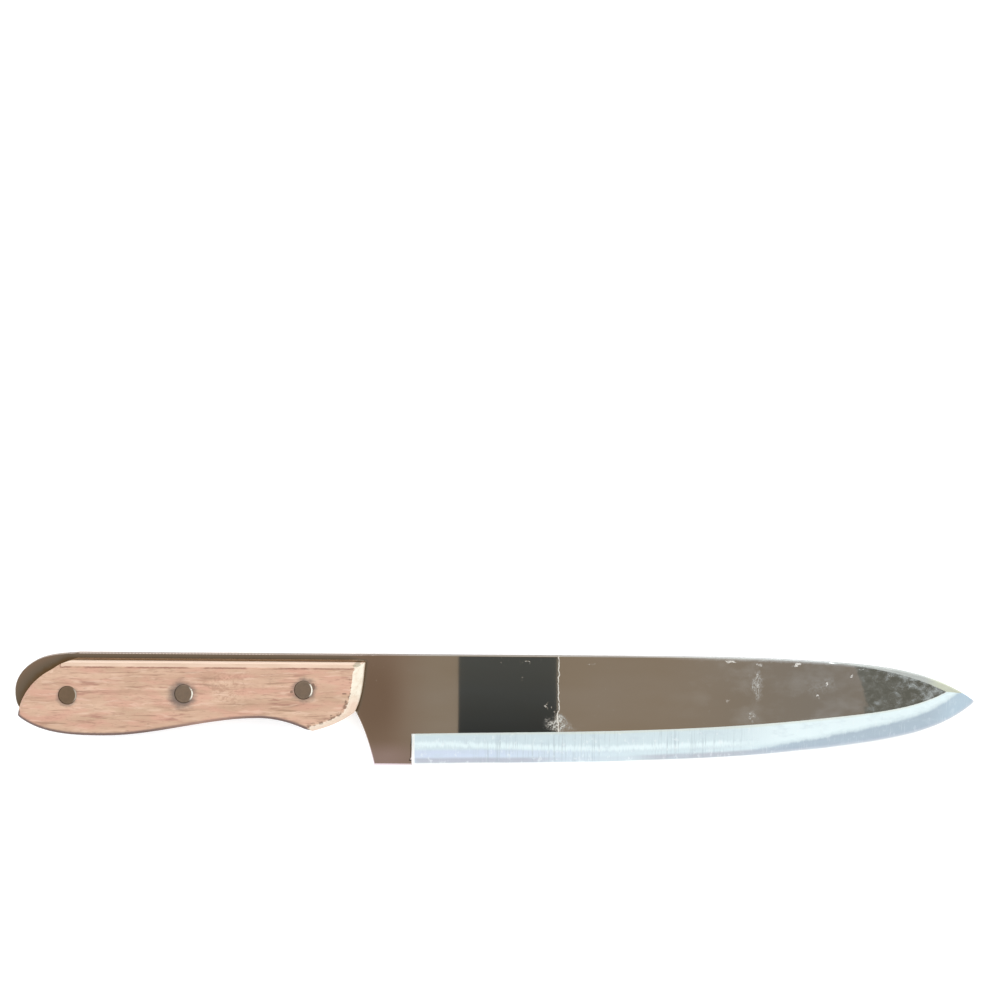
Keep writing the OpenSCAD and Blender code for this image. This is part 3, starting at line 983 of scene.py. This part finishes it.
class Shell:
    """Gathers places, faces, materials and surface values into one closed mesh."""

    # Places closer than this are merged, and sides shorter than this dissolved
    MERGED = 0.002 * MM
    DISSOLVED = 0.0005 * MM

    def __init__(self):
        self.places = []
        self.faces = []
        self.slots = []
        self.values = {}

    def add(self, places, faces, slots, **values):
        """Takes in faces, each with its slot, and the surface values of their places."""
        base = len(self.places)
        self.places += [tuple(p) for p in places]
        self.faces += [tuple(base + i for i in f) for f in faces]
        self.slots += list(slots) if hasattr(slots, "__len__") else [slots] * len(faces)
        for name in {**self.values, **values}:
            column = self.values.setdefault(name, [0.0] * base)
            given = values.get(name, 0.0)
            column += list(given) if hasattr(given, "__len__") else [given] * len(places)

    def wall(self, ring, tops, bottoms, slots, **values):
        """A band round a closed line, from bottoms up to tops."""
        count = len(ring)
        low = [(x, y, z) for (x, y), z in zip(ring, bottoms)]
        high = [(x, y, z) for (x, y), z in zip(ring, tops)]
        faces = [(i, (i + 1) % count, count + (i + 1) % count, count + i) for i in range(count)]
        doubled = {name: list(v) * 2 if hasattr(v, "__len__") else v for name, v in values.items()}
        self.add(low + high, faces, slots, **doubled)

    def build(self, name, materials, flip, sharp):
        """The finished object. flip mirrors it through z = 0; sharp is a test of two faces."""
        mesh = bpy.data.meshes.new(name)
        turn = (MM, MM, -MM if flip else MM)
        places = np.array(self.places) * turn
        faces = [f[::-1] for f in self.faces] if flip else self.faces
        mesh.from_pydata(places.tolist(), [], faces)
        for material in materials:
            mesh.materials.append(material)
        mesh.polygons.foreach_set("material_index", self.slots)
        corners = np.concatenate(faces)
        for key, column in self.values.items():
            attribute = mesh.attributes.new(key, "FLOAT", "CORNER")
            attribute.data.foreach_set("value", np.array(column, np.float32)[corners])
        work = bmesh.new()
        work.from_mesh(mesh)
        bmesh.ops.remove_doubles(work, verts=work.verts, dist=self.MERGED)
        bmesh.ops.dissolve_degenerate(work, edges=work.edges, dist=self.DISSOLVED)
        bmesh.ops.recalc_face_normals(work, faces=work.faces)
        for face in work.faces:
            face.smooth = True
        for edge in work.edges:
            edge.smooth = len(edge.link_faces) == 2 and not sharp(*edge.link_faces)
        work.to_mesh(mesh)
        work.free()
        made = bpy.data.objects.new(name, mesh)
        bpy.context.scene.collection.objects.link(made)
        return made


def keep_piece(made, slot, *nodes):
    """Hangs a finished piece under the body's empty and hides the CAD nodes that it stands for."""
    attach(made, BODY)
    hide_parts(*nodes)


def rounding(gap, radius):
    """How much lower a rounded edge is, at a distance from it."""
    near = np.clip(gap, 0, radius)
    return radius - np.sqrt(np.maximum(radius ** 2 - (radius - near) ** 2, 0))


def read(surface, points, reach=0.0, nudge=0.03, ring=None, kind=tuple):
    """Heights and facings of a surface at points, evened out over a reach.

    kind turns each facing into the three numbers that are evened out in its place.
    """
    spots = points.copy()
    if ring is not None:
        low = away_from(points, ring) < nudge
        near = matching(ring, points[low])
        if len(near):
            spots[low] = ring[near] + inward(ring)[near] * nudge
    turns = [(0.0, 0.0)]
    if reach:
        turns += list(circle((0, 0), reach, AROUND))
    found = np.full((len(points), 4), math.nan)
    for index, (x, y) in enumerate(spots):
        hits = [surface.height(x + dx, y + dy) for dx, dy in turns]
        hits = [(height, *kind(normal)) for height, normal in hits if height is not None]
        if hits:
            found[index] = np.mean(hits, axis=0)
    missing = np.isnan(found[:, 0])
    for index in np.nonzero(missing)[0]:
        away = np.linalg.norm(points - points[index], axis=1)
        found[index] = found[np.argmin(np.where(missing, np.inf, away))]
    return found[:, 0], found[:, 1:]


class KNIFE_OT_blade(bpy.types.Operator):
    """Draws the steel, from the butt of the tang to the point"""

    bl_idname = "knife.blade"
    bl_label = "Blade"

    # Materials of the steel, in the order of its slots
    FLAT, GROUND, SPINE = range(3)
    # Longest side of the outlines and width of the grid between them, in millimetres
    SIDE = 1.2
    GRID = 1.6
    # Height over the middle of the steel at which its outline is read, in millimetres
    LIFT = 0.01
    # Distances in from the outline, as shares of its rounding, and then in millimetres
    ROUND = (0.08, 0.3, 0.62, 1.0)
    INNER = (0.6, 1.4)
    # Most of the steel's height that a rounding takes off, as a share
    MOST_ROUNDED = 0.8
    # Least bend that is kept as a crease
    BEND = math.radians(0.6)
    # How much smaller the radius of a hole is than that of the head over it, in millimetres
    HOLE_INSET = 0.9
    # Height below which the rim of the steel is its cutting edge, in millimetres
    KEEN = 0.2
    # How late the ground face narrows towards the point
    NARROWING = 8
    # Reach of the worn steel along the upper edge, in millimetres
    RIM_REACH = 2.5
    # Distances out from the scales' outline at which the stain and painted shade beside the wood
    # are measured, in millimetres
    STAIN_AND_SHADE_STEPS = (0.05, 0.5, 1.0, 1.6, 2.4, 3.6)
    # Least upward part of a flat's facing, and least part towards the spine of a swage's
    LEVEL = 0.9995
    SWAGE_LEAN = 0.02
    # Least upward part of the facing on either side of the blade, and least turn between two
    # finishes that meet there
    ON_SIDE = 0.8
    FINISH_TURN = math.radians(0.7)

    def execute(self, context):
        surface = Surface("blade", 1)
        middle = STEEL_MIDDLE / MM
        outline = split_long(surface.outline(middle + self.LIFT), self.SIDE)
        handle = Surface("front_scale", 1)
        handle = split_long(handle.outline(handle.base + SCALE_LIFT), self.SIDE)
        beside = np.concatenate([handle - inward(handle) * step for step in self.STAIN_AND_SHADE_STEPS])
        holes = [circle(c / MM, HEAD_RADIUS / MM - self.HOLE_INSET) for c in RIVET_CENTRES]
        edge = sizes().steel_edge / MM
        steps = [edge * share for share in self.ROUND] + list(self.INNER)
        creases = surface.creases(self.BEND)
        places, faces = fill(outline, holes, steps, self.GRID, creases, beside)
        heights, _ = read(surface, places, ring=outline)
        rim, _ = read(surface, outline, ring=outline)
        heights -= middle
        rim -= middle
        gap = away_from(places, outline)
        heights -= [rounding(g, min(edge, self.MOST_ROUNDED * h)) for g, h in zip(gap, heights)]
        cutting = outline[rim < self.KEEN]
        cutting = cutting[np.argsort(cutting[:, 0])]
        values = {
            "across": self.across(places, cutting),
            "stain_and_shade": self.stain_and_shade(places, handle),
            "spine": self.spine(places, outline),
        }
        slots = self.slots_of(surface, places, faces)
        shell = Shell()
        top = np.column_stack([places, heights])
        shell.add(top, faces, slots, **values)
        shell.add(top * (1, 1, -1), faces[:, ::-1], slots, **values)
        tops = heights[matching(places, outline)]
        shell.wall(outline, tops, -tops, self.SPINE)
        for hole in holes:
            level = np.full(len(hole), surface.top - middle)
            shell.wall(hole[::-1], level, -level, self.SPINE)
        ground = faces[np.array(slots) == self.GROUND]
        heel = places[ground, 0].min() * MM
        materials = [PolishedSteel().painted(), ground_steel(heel), brushed_spine()]
        made = shell.build("knife_blade", materials, False, self.crisp)
        made.data.transform(Matrix.Translation((0, 0, STEEL_MIDDLE)))
        keep_piece(made, "blade_steel", "blade")
        return {"FINISHED"}

    def crisp(self, a, b):
        """Sharp where two finishes meet on a side of the blade, and at its holes."""
        on_side = min(abs(a.normal.z), abs(b.normal.z)) > self.ON_SIDE
        meeting = on_side and a.material_index != b.material_index
        return a.normal.angle(b.normal, 0) > (self.FINISH_TURN if meeting else STRONG_TURN)

    def across(self, places, cutting):
        """Share of the ground face's width, from 0 at the cutting edge to 1 at the flat."""
        heel, point = cutting[0, 0], cutting[-1, 0]
        along = np.clip((places[:, 0] - heel) / (point - heel), 0, 1)
        wide, narrow = sizes().ground_width / MM, sizes().ground_width_point / MM
        width = wide + (narrow - wide) * along ** self.NARROWING
        return np.clip(away_from(places, cutting, closed=False) / width, 0, 1)

    def spine(self, places, outline):
        """Nearness to the upper edge of the steel, from 1 there to 0 at the rim's reach."""
        upper = outline[inward(outline)[:, 1] < -0.5]
        upper = upper[np.argsort(upper[:, 0])]
        return np.clip(1 - away_from(places, upper, closed=False) / self.RIM_REACH, 0, 1)

    @staticmethod
    def stain_and_shade(places, handle):
        """Stain and painted shade beside the wood, wider at the butt and narrow at the front."""
        butt, front = BUTT / MM, handle[:, 0].max()
        reaches = {butt: 8.0, butt + 22: 3.0, front - 6: 3.0, front - 1: 1.3}
        reach = np.interp(places[:, 0], list(reaches), list(reaches.values()))
        near = np.clip(1 - away_from(places, handle) / reach, 0, 1)
        return np.where(inside(places, handle), 1.0, near)

    def slots_of(self, surface, places, faces):
        """Flat, ground or spine, by the way that the steel faces."""
        slots = []
        for x, y in places[faces].mean(axis=1):
            _, normal = surface.height(x, y)
            if normal is None or normal.z > self.LEVEL:
                slots.append(self.FLAT)
            else:
                slots.append(self.SPINE if normal.y > self.SWAGE_LEAN else self.GROUND)
        return slots


class KNIFE_OT_scales(bpy.types.Operator):
    """Draws the two wooden scales"""

    bl_idname = "knife.scales"
    bl_label = "Scales"

    # Longest side of the outline and width of the grid inside it, in millimetres
    SIDE = 0.9
    GRID = 1.3
    # Distances in from the outline, in millimetres
    STEPS = (0.05, 0.14, 0.3, 0.5, 0.75, 1.0, 1.25, 1.5, 1.8, 2.1, 2.4, 2.7, 3.0, 3.25, 3.6, 4.2)
    # How much smaller the radius of a shank's hole is than that of the head's, in millimetres
    SHANK_INSET = 1.0
    # Reach over which the borders of the front and upper bevels are evened out, in millimetres
    FRONT_REACH = 1.4
    UPPER_REACH = 0.5
    # Lengths behind the scales' front of the bevel, of the end grain in the walls and of the
    # underside without painted shade, in millimetres
    BEVEL_LENGTH = 30
    END_LENGTH = 19
    UNSHADED_LENGTH = 19.2
    # Reach of the painted shade in from the outline, and up from the lower edge, in millimetres
    EDGE_SHADE_REACH = 1.6
    EDGE_SHADE_HEIGHT = 2.4
    # Parts of a facing from which it belongs to the front bevel, the upper one and the lobe
    AHEAD = 0.12
    UP = 0.3
    DOWN = -0.2

    def execute(self, context):
        wood = ScaleWood().painted()
        self.scale("knife_front_scale", "front_scale", 1, wood)
        self.scale("knife_back_scale", "back_scale", -1, wood)
        return {"FINISHED"}

    def scale(self, name, node, facing, wood):
        """One scale: its outer side, its wall, its inner side and its stepped holes."""
        surface = Surface(node, facing)
        base, top = surface.base, surface.top
        outline = split_long(surface.outline(base + SCALE_LIFT), self.SIDE)
        radius = (HEAD_RADIUS + sizes().hole_clearance) / MM
        heads = [circle(c / MM, radius) for c in RIVET_CENTRES]
        shanks = [circle(c / MM, radius - self.SHANK_INSET) for c in RIVET_CENTRES]
        places, faces = fill(outline, heads, self.STEPS, self.GRID)
        heights, shares = self.shape(surface, places, outline, radius)
        gap = away_from(places, outline)
        heights = np.minimum(heights, top) - rounding(gap, sizes().wood_edge / MM)
        ahead = self.looks_ahead(outline)
        shell = Shell()
        shell.add(np.column_stack([places, heights]), faces, 0,
                  grime=self.grime(places, outline, gap),
                  front=shares[:, 0], upper=shares[:, 1], lobe=shares[:, 2])
        # Painted shade on the walls that face down
        up = inward(outline)[:, 1] * (1 - ahead)
        # Painted light: walls that face up get upper values above 1, which paint them lighter
        sides = {"front": ahead, "upper": np.clip(up * -3, 0, 2), "grime": np.clip(up, 0, 1)}
        rim = heights[matching(places, outline)]
        shell.wall(outline, rim, np.full(len(outline), base), 0, **sides)
        flats, flat_faces = fill(outline, shanks, (), 0)
        near = matching(outline, flats)
        shell.add(np.column_stack([flats, np.full(len(flats), base)]), flat_faces[:, ::-1], 0,
                  **{name: values[near] for name, values in sides.items()})
        seat = top - (sizes().head_thickness + sizes().hole_clearance) / MM
        for head, shank in zip(heads, shanks):
            self.stepped_hole(shell, head, shank, top, seat, base)
        made = shell.build(name, [wood], facing < 0, self.crisp)
        keep_piece(made, "handle_wood", node)

    def shape(self, surface, places, outline, radius):
        """Heights of the outer side, and its shares of the front, upper and lobe bevels."""
        heights, _ = read(surface, places, sizes().wood_wear / MM, ring=outline)
        _, shares = read(surface, places, self.FRONT_REACH, ring=outline, kind=self.bevels)
        _, narrow = read(surface, places, self.UPPER_REACH, ring=outline, kind=self.bevels)
        shares[:, 1] = narrow[:, 1]
        shares[places[:, 0] < SCALE_HIGH.x / MM - self.BEVEL_LENGTH, 0] = 0
        for centre in RIVET_CENTRES:
            away = np.linalg.norm(places - np.array(centre / MM)[:2], axis=1)
            heights[away < radius + 1.0] = surface.top
            shares[away < radius + 1.0] = 0
        return heights, shares

    @staticmethod
    def stepped_hole(shell, head, shank, top, seat, base):
        """Walls of the hole for a rivet's head and of the one for its shank, and the ledge."""
        count = len(head)
        level = np.full(count, seat)
        # Painted shade in the hole: a little on the head's wall, more on the ledge
        shell.wall(head[::-1], np.full(count, top), level, 0, grime=0.1)
        ledge = [(x, y, seat) for x, y in np.concatenate([head, shank])]
        ring = [(i, (i + 1) % count, count + (i + 1) % count, count + i) for i in range(count)]
        shell.add(ledge, ring, 0, grime=0.5)
        shell.wall(shank[::-1], level, np.full(count, base), 0)

    @staticmethod
    def crisp(a, b):
        """Sharp at strong turns, and where a wall meets the rounding above it."""
        walls = [abs(face.normal.z) < 0.02 for face in (a, b)]
        return walls[0] != walls[1] or a.normal.angle(b.normal, 0) > STRONG_TURN

    def bevels(self, facing):
        """Whether a place lies on the front bevel, on the upper one, and on the front's lobe."""
        ahead = facing.x > self.AHEAD
        upper = facing.y > self.UP and not ahead and facing.x > -self.UP
        return ahead, upper, ahead and facing.y < self.DOWN

    def looks_ahead(self, outline):
        """1 where the outline looks towards the point, as end grain does, and 0 elsewhere."""
        at_front = outline[:, 0] > SCALE_HIGH.x / MM - self.END_LENGTH
        return np.clip(inward(outline)[:, 0] * -4, 0, 1) * at_front

    def grime(self, places, outline, gap):
        """Painted shade along the lower edge of the scale, from 1 there to 0 away from it."""
        lower = outline[inward(outline)[:, 1] > 0.25]
        order = np.argsort(lower[:, 0])
        level = np.interp(places[:, 0], lower[order, 0], lower[order, 1])
        behind = places[:, 0] <= SCALE_HIGH.x / MM - self.UNSHADED_LENGTH
        shade_amount = np.clip(1.2 * (1 - gap / self.EDGE_SHADE_REACH), 0, 1)
        return shade_amount * (places[:, 1] - level < self.EDGE_SHADE_HEIGHT) * behind


class KNIFE_OT_rivets(bpy.types.Operator):
    """Sets the rivets' halves into their holes"""

    bl_idname = "knife.rivets"
    bl_label = "Rivets"

    def execute(self, context):
        metal = rivet_metal()
        self.halves("knife_rivet_barrels", BARRELS, 1, metal)
        self.halves("knife_rivet_pins", PINS, -1, metal)
        return {"FINISHED"}

    def halves(self, name, nodes, facing, metal):
        """One object for three like halves: the hollow ones face up, the solid ones down."""
        low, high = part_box(nodes[0])
        face = high.z if facing > 0 else low.z
        length = high.z - low.z - sizes().head_thickness
        shank = sizes().barrel_radius if facing > 0 else sizes().pin_radius
        spots = bpy.data.meshes.new(name)
        spots.from_pydata([(centre_of(n).x, centre_of(n).y, face) for n in nodes], [], [])
        made = bpy.data.objects.new(name, spots)
        bpy.context.scene.collection.objects.link(made)
        tree = rivet_tree()
        modifier = made.modifiers.new("Rivets", "NODES")
        modifier.node_group = tree
        values = {
            "Head Radius": HEAD_RADIUS, "Head Thickness": sizes().head_thickness,
            "Head Dome": sizes().head_dome, "Head Sides": sizes().head_sides,
            "Shank Radius": shank, "Shank Length": length,
            "Turn": 0.0 if facing > 0 else math.pi, "Metal": metal,
        }
        for item in tree.interface.items_tree:
            if item.item_type == "SOCKET" and item.in_out == "INPUT" and item.name in values:
                modifier[item.identifier] = values[item.name]
        made.update_tag()
        context = bpy.context.evaluated_depsgraph_get()
        mesh = bpy.data.meshes.new_from_object(made.evaluated_get(context))
        made.modifiers.clear()
        made.data = mesh
        keep_piece(made, "rivet_steel", *nodes)


# Faces along a head's side, from its rim to its middle, and round a shank
SIDE_FACES = 4
FACE_RINGS = 10
SHANK_SIDES = 32
# Powers of the distance from a head's middle by which its dome and its rim fall, and the rim's fall
DOME_POWER = 2
RIM_POWER = 24
RIM_FALL = 0.05 * MM


def rivet_tree():
    """Geometry nodes that put one rivet half on each point, its face at the point."""
    if "rivet_half" in bpy.data.node_groups:
        return bpy.data.node_groups["rivet_half"]
    tree = bpy.data.node_groups.new("rivet_half", "GeometryNodeTree")
    nodes = Nodes(tree)
    sockets = {
        "Geometry": "Geometry", "Head Radius": "Float", "Head Thickness": "Float",
        "Head Dome": "Float", "Shank Radius": "Float", "Shank Length": "Float", "Turn": "Float",
        "Head Sides": "Int", "Metal": "Material",
    }
    for name, kind in sockets.items():
        tree.interface.new_socket(name, in_out="INPUT", socket_type="NodeSocket" + kind)
    tree.interface.new_socket("Geometry", in_out="OUTPUT", socket_type="NodeSocketGeometry")

    def along(axis, value):
        return nodes.node("ShaderNodeCombineXYZ", None, {axis: value})

    def moved(geometry, **change):
        return nodes.node("GeometryNodeTransform", None, {"Geometry": geometry, **change})

    def cylinder(**shape):
        inputs = {name.replace("_", " "): value for name, value in shape.items()}
        return nodes.node("GeometryNodeMeshCylinder", {"fill_type": "TRIANGLE_FAN"}, inputs)

    given = {wire.socket.name: wire for wire in nodes.outputs(nodes.node("NodeGroupInput"))}
    thickness = given["Head Thickness"]
    length = given["Shank Length"]
    head = cylinder(Vertices=given["Head Sides"], Side_Segments=SIDE_FACES,
                    Fill_Segments=FACE_RINGS, Radius=given["Head Radius"], Depth=thickness)
    spot = nodes.node("GeometryNodeInputPosition")
    x, y, z = nodes.outputs(nodes.node("ShaderNodeSeparateXYZ", None, (spot,)))
    level = nodes.node("ShaderNodeCombineXYZ", None, (x, y))
    share = nodes.vector("LENGTH", level, output="Value") / given["Head Radius"]
    fall = share ** DOME_POWER * given["Head Dome"] + share ** RIM_POWER * RIM_FALL
    shaped = nodes.node("GeometryNodeSetPosition", None,
                        {"Geometry": head, "Offset": along("Z", fall * z.above(0) * -1)})
    seated = moved(shaped, Translation=along("Z", thickness * -0.5))
    shank = cylinder(Vertices=SHANK_SIDES, Radius=given["Shank Radius"], Depth=length)
    lowered = moved(shank, Translation=along("Z", length * -0.5 - thickness))
    both = nodes.node("GeometryNodeJoinGeometry", None, (seated,))
    nodes.feed(both.socket.node.inputs[0], lowered)
    turned = moved(both, Rotation=along("X", given["Turn"]))
    smooth = nodes.node("GeometryNodeSetShadeSmooth", None, {"Geometry": turned})
    placed = nodes.node("GeometryNodeInstanceOnPoints", None,
                        {"Points": given["Geometry"], "Instance": smooth})
    real = nodes.node("GeometryNodeRealizeInstances", None, (placed,))
    painted = nodes.node("GeometryNodeSetMaterial", None,
                         {"Geometry": real, "Material": given["Metal"]})
    nodes.node("NodeGroupOutput", None, (painted,))
    return tree


class KNIFE_OT_stage(bpy.types.Operator):
    """Sets up the floor, the lights, the cards that the steel mirrors and the camera"""

    bl_idname = "knife.stage"
    bl_label = "Stage"

    # Half the floor's width, in metres
    FLOOR = 3.0
    # Lamps: name, place, width, and share of the key lamp's power
    LAMPS = (("key", (0.55, 0.45, 0.75), 0.5, 1.0), ("fill", (-0.6, 0.5, 0.9), 0.8, 0.35))
    # Height of the wide cards over the steel, and how far each reaches along and up, in metres
    CARD_HEIGHT = 1.0
    ROOM_CARD = ((-0.8, 0.8), (-0.282, -0.02))
    BRIGHT_CARD = ((-1.2, 1.2), (-1.0, -0.286))
    # Reach of the dark card, along from the camera and up, and the width of its pale rim
    DARK_ALONG = (-0.029, 0.0424)
    DARK_UP = (-0.125, -0.028)
    RIM_WIDTH = 0.0006

    def execute(self, context):
        scene = context.scene
        scene.view_settings.view_transform = "Standard"
        eye = Vector((stage().camera_across, stage().camera_up,
                      STEEL_HIGH.z + stage().camera_height))
        self.world(scene)
        self.floor()
        self.lamps()
        self.cards(eye)
        self.camera(scene, eye)
        return {"FINISHED"}

    def world(self, scene):
        scene.world = bpy.data.worlds.new("studio")
        scene.world.use_nodes = True
        background = scene.world.node_tree.nodes["Background"]
        background.inputs["Color"].default_value = (0.97, 0.985, 1.0, 1)
        background.inputs["Strength"].default_value = stage().sky

    def floor(self):
        made = self.sheet("floor", (-self.FLOOR, self.FLOOR), (-self.FLOOR, self.FLOOR), 0)
        finish = Finish("floor_paint")
        finish.set(Base_Color=opaque(stage().floor), Roughness=0.9,
                   Emission_Strength=stage().floor_glow)
        made.data.materials.append(finish.material)

    @staticmethod
    def sheet(name, along, up, height):
        """A level rectangle that faces up."""
        mesh = bpy.data.meshes.new(name)
        corners = [(along[0], up[0], height), (along[1], up[0], height),
                   (along[1], up[1], height), (along[0], up[1], height)]
        mesh.from_pydata(corners, [], [(0, 1, 2, 3)])
        made = bpy.data.objects.new(name, mesh)
        bpy.context.scene.collection.objects.link(made)
        return made

    def lamps(self):
        for name, spot, size, share in self.LAMPS:
            data = bpy.data.lights.new(name, "AREA")
            data.size = size
            data.energy = stage().key * share
            lamp = bpy.data.objects.new(name, data)
            lamp.location = spot
            lamp.rotation_euler = (-Vector(spot)).to_track_quat("-Z", "Y").to_euler()
            lamp.visible_camera = False
            bpy.context.scene.collection.objects.link(lamp)

    def cards(self, eye):
        """Cards that only reflections see. The flats mirror the first, the ground face the next."""
        high = STEEL_HIGH.z + self.CARD_HEIGHT
        white = (stage().bright,) * 3
        left, right = (eye.x + reach for reach in self.DARK_ALONG)
        rim = (right, right + self.RIM_WIDTH)
        self.card("room_card", *self.ROOM_CARD, high, stage().room, stage().room)
        self.card("bright_card", *self.BRIGHT_CARD, high, white, white)
        self.card("dark_card", (left, right), self.DARK_UP, eye.z,
                  shade(51, 53, 52), shade(96, 99, 98))
        self.card("card_rim", rim, self.DARK_UP, eye.z, shade(190, 182, 168),
                  shade(190, 182, 168))

    def card(self, name, along, up, height, near, far):
        """A glowing card whose colour goes from near, at its lowest y, to far."""
        made = self.sheet(name, along, up, height)
        finish = Finish(name)
        finish.tree.nodes.remove(finish.surface)
        colour = finish.mix(finish.step(finish.axes[1], *up), near, far)
        glow = finish.node("ShaderNodeEmission", None, {"Color": colour})
        finish.tree.links.new(glow.socket, finish.tree.nodes["Material Output"].inputs[0])
        made.data.materials.append(finish.material)
        made.visible_camera = False
        made.visible_diffuse = False
        made.visible_shadow = False
        made.visible_transmission = False

    def camera(self, scene, eye):
        data = bpy.data.cameras.new("camera")
        data.lens = stage().lens
        data.sensor_width = 36
        made = bpy.data.objects.new("camera", data)
        made.location = eye
        made.rotation_euler = (0, 0, stage().camera_roll)
        scene.collection.objects.link(made)
        scene.camera = made


class KNIFE_PT_panel(bpy.types.Panel):
    """Lists the knife's pieces"""

    bl_idname = "KNIFE_PT_panel"
    bl_label = "Carving Knife"
    bl_space_type = "VIEW_3D"
    bl_region_type = "UI"
    bl_category = "Knife"

    def draw(self, context):
        for operator in OPERATORS:
            self.layout.operator(operator.bl_idname)
        for group in GROUPS:
            box = self.layout.box()
            values = getattr(context.scene, group)
            for name in values.bl_rna.properties.keys():
                if name not in ("rna_type", "name"):
                    box.prop(values, name)


OPERATORS = (KNIFE_OT_stage, KNIFE_OT_blade, KNIFE_OT_scales, KNIFE_OT_rivets)
GROUPS = {"knife_sizes": KnifeSizes, "knife_finishes": KnifeFinishes, "knife_stage": KnifeStage}


def register():
    for group in GROUPS.values():
        bpy.utils.register_class(group)
    for name, group in GROUPS.items():
        setattr(bpy.types.Scene, name, PointerProperty(type=group))
    for operator in OPERATORS:
        bpy.utils.register_class(operator)
    bpy.utils.register_class(KNIFE_PT_panel)


def unregister():
    bpy.utils.unregister_class(KNIFE_PT_panel)
    for operator in reversed(OPERATORS):
        bpy.utils.unregister_class(operator)
    for name, group in GROUPS.items():
        delattr(bpy.types.Scene, name)
        bpy.utils.unregister_class(group)


def main():
    register()
    bpy.ops.knife.stage()
    bpy.ops.knife.blade()
    bpy.ops.knife.scales()
    bpy.ops.knife.rivets()
    bpy.context.view_layer.update()


if __name__ == "__main__":
    main()
